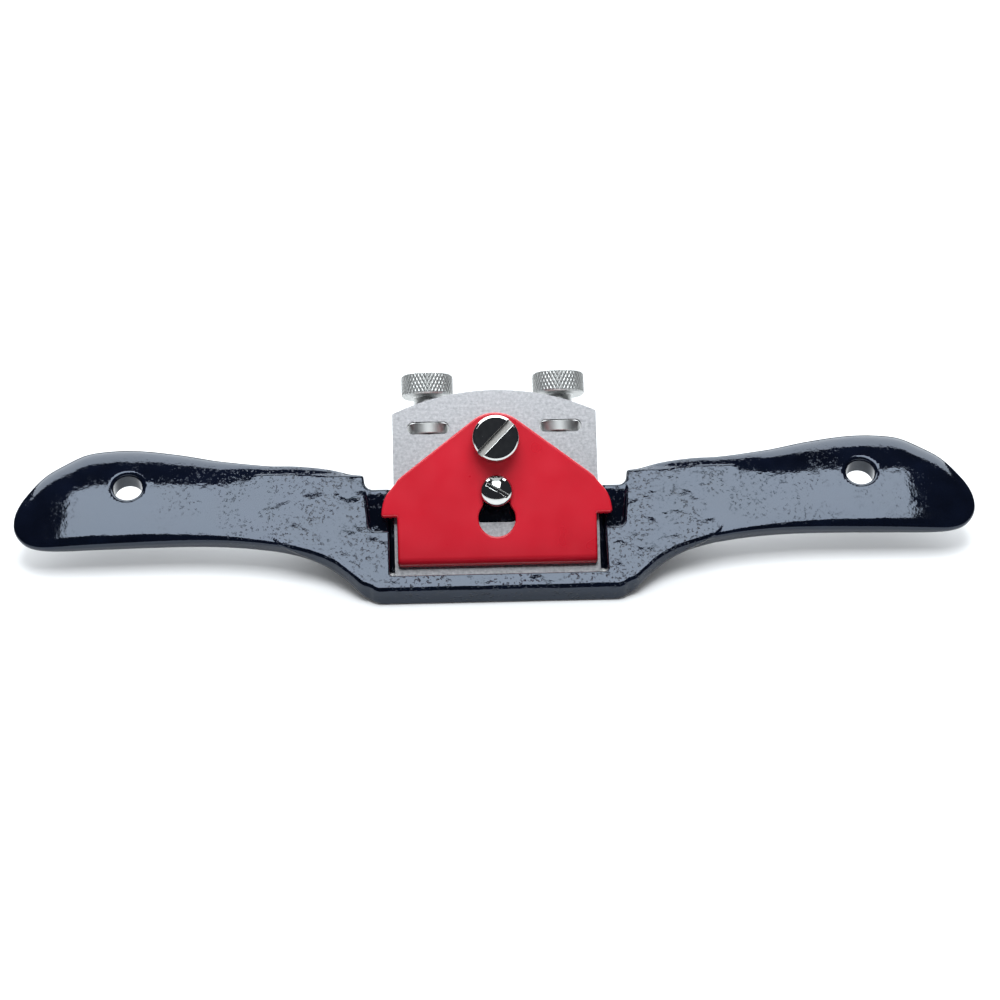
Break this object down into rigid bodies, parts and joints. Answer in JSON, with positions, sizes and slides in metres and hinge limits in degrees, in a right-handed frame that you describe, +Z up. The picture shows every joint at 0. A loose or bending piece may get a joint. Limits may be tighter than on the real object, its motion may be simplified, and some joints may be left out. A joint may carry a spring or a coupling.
{
  "type": "spokeshave",
  "caption": "Flat-faced metal spokeshave with gull-wing handles, a 45 degree cutter raised and lowered by knurled nuts, and a keyhole lever cap.",
  "frame": {"origin": "on the plane of the sole, under the middle of the whole tool's box", "axes": "+X along the handles to the user's right with the toe facing the viewer, +Y from the toe to the back of the tool, +Z up out of the work, with the sole on Z = 0"},
  "size_m": [0.254, 0.0582, 0.0397],
  "materials": {
    "casting_enamel": "gloss blue-black enamel on cast iron",
    "cap_enamel": "red enamel, satin gloss",
    "ground_steel": "ground",
    "nickel_plate": "bright nickel plate"
  },
  "bodies": {
    "casting": {"body_casting": "casting_enamel", "left_adjusting_stud": "nickel_plate", "right_adjusting_stud": "nickel_plate"},
    "cutter": {"cutter_blade": "ground_steel"},
    "left_nut": {"left_adjusting_nut": "nickel_plate"},
    "right_nut": {"right_adjusting_nut": "nickel_plate"},
    "cap": {"lever_cap": "cap_enamel"},
    "cap_screw": {"lever_cap_screw": "nickel_plate"},
    "thumb_screw": {"lever_cap_thumb_screw": "nickel_plate"}
  },
  "joints": [
    {"name": "cutter_feed", "type": "slide", "parent": "casting", "child": "cutter", "axis": [0, 0.7071, 0.7071], "range_m": [-0.0015, 0.004]},
    {"name": "left_nut_turn", "type": "hinge", "parent": "cutter", "child": "left_nut", "pos_m": [-0.0175, 0.02226, 0.03287], "axis": [0, 0.7071, 0.7071], "range_deg": [-676, 1801]},
    {"name": "right_nut_turn", "type": "hinge", "parent": "cutter", "child": "right_nut", "pos_m": [0.0175, 0.02226, 0.03287], "axis": [0, 0.7071, 0.7071], "range_deg": [-676, 1801]},
    {"name": "lever_cap_slide", "type": "slide", "parent": "casting", "child": "cap", "axis": [0, 0.7071, 0.7071], "range_m": [0, 0.0069]},
    {"name": "lever_cap_screw_turn", "type": "hinge", "parent": "casting", "child": "cap_screw", "pos_m": [0, -0.00801, 0.02071], "axis": [0, -0.7071, 0.7071], "range_deg": [0, 360]},
    {"name": "thumb_screw_turn", "type": "hinge", "parent": "cap", "child": "thumb_screw", "pos_m": [0, -0.00072, 0.03223], "axis": [0, -0.7071, 0.7071], "range_deg": [0, 540]}
  ],
  "couplings": [
    {"joint": "left_nut_turn", "follows": "cutter_feed", "rad_per_m": 7854},
    {"joint": "right_nut_turn", "follows": "cutter_feed", "rad_per_m": 7854}
  ]
}
